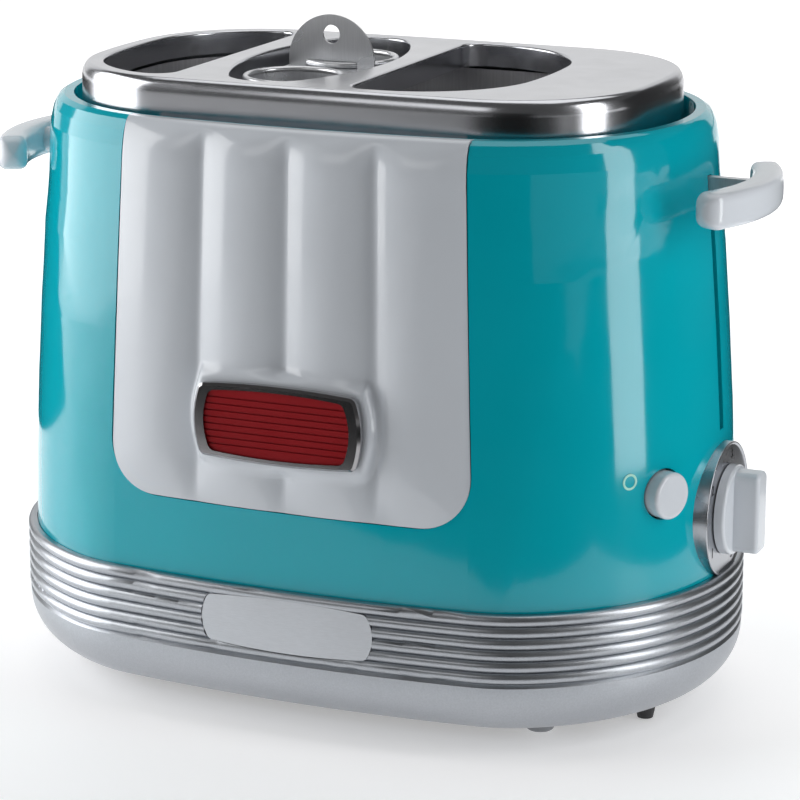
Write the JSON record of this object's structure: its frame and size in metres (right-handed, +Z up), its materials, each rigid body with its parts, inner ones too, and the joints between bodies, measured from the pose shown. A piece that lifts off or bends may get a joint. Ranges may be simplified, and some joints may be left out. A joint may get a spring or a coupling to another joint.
{
  "type": "hot dog toaster",
  "caption": "Rounded toaster with side slots for split buns, a lift-out cage for sausages, a lever at one end, a dial, a stop button and a pull-out crumb tray.",
  "frame": {"origin": "on the surface that the feet stand on, under the middle of the body", "axes": "+X towards the lever end, +Y towards the back with the crumb tray, +Z up"},
  "size_m": [0.3136, 0.1907, 0.2556],
  "materials": {
    "housing_plastic": "high gloss turquoise",
    "white_plastic": "soft gloss white",
    "base_satin": "satin silver paint",
    "plaque_silver": "fine brushed",
    "top_steel": "bright polished",
    "badge_chrome": "dark bright plated",
    "badge_red": "glossy deep red",
    "inner_steel": "aluminised sheet",
    "cage_steel": "plated sheet",
    "chassis_plastic": "moulded black",
    "bush_plastic": "natural acetal",
    "foot_rubber": "matt",
    "mica": "mica sheet",
    "ribbon": "resistance ribbon",
    "board_green": "phenolic board",
    "component_black": "moulded",
    "coil_tape": "taped winding",
    "dial_silver": "satin silver",
    "tray_steel": "mill finish sheet",
    "screw_steel": "zinc plated"
  },
  "bodies": {
    "housing": {"base_trim": "base_satin", "name_plaque": "plaque_silver", "base_floor": "chassis_plastic", "cord_gland": "foot_rubber", "base_screws": "screw_steel", "feet": "foot_rubber", "cord_pegs": "chassis_plastic", "body_shell": "housing_plastic", "front_panel": "white_plastic", "badge_bezel": "badge_chrome", "badge_insert": "badge_red", "top_cover": "top_steel", "oven_liner": "inner_steel", "end_plate": "inner_steel", "divider_rails_left": "inner_steel", "divider_rails_right": "inner_steel", "heater_board_left": "mica", "heater_board_right": "mica", "heater_winding_left": "ribbon", "heater_winding_right": "ribbon", "guard_wires_left": "inner_steel", "guard_wires_right": "inner_steel", "rod_bracket_lower": "inner_steel", "rod_bracket_upper": "inner_steel", "guide_rods": "inner_steel", "magnet_core": "screw_steel", "magnet_coil": "coil_tape", "dial_board": "board_green", "timer_pot": "screw_steel", "dial_bezel": "dial_silver", "stop_switch": "component_black", "switch_board": "board_green", "control_board": "board_green", "board_parts": "component_black", "left_handle": "white_plastic", "handle_screw": "screw_steel", "lift_spring": "screw_steel"},
    "carriage": {"carriage_slider": "inner_steel", "carriage_bushes": "bush_plastic", "lever_stem": "inner_steel", "lever_handle": "white_plastic", "bun_rack_left": "inner_steel", "bun_rack_right": "inner_steel", "sausage_platform": "inner_steel", "catch_plate": "screw_steel"},
    "cage": {"cage_tube_front": "cage_steel", "cage_tube_back": "cage_steel", "cage_bridge": "cage_steel"},
    "tray": {"crumb_tray": "tray_steel", "tray_front": "base_satin"},
    "dial": {"dial_knob": "white_plastic", "dial_shaft": "screw_steel"},
    "button": {"stop_button": "white_plastic"}
  },
  "joints": [
    {"name": "carriage_slide", "type": "slide", "parent": "housing", "child": "carriage", "axis": [0, 0, 1], "range_m": [-0.083, 0], "stiffness_N_per_m": 250, "springref_m": 0.03, "deforming": ["lift_spring"]},
    {"name": "cage_lift", "type": "slide", "parent": "carriage", "child": "cage", "axis": [0, 0, 1], "range_m": [0, 0.12]},
    {"name": "tray_slide", "type": "slide", "parent": "housing", "child": "tray", "axis": [0, 1, 0], "range_m": [0, 0.14]},
    {"name": "dial_turn", "type": "hinge", "parent": "housing", "child": "dial", "pos_m": [0.1416, 0, 0.08], "axis": [1, 0, 0], "range_deg": [-135, 135]},
    {"name": "stop_push", "type": "slide", "parent": "housing", "child": "button", "axis": [-0.9135, 0.4067, 0], "range_m": [0, 0.002], "stiffness_N_per_m": 600, "springref_m": -0.002}
  ]
}
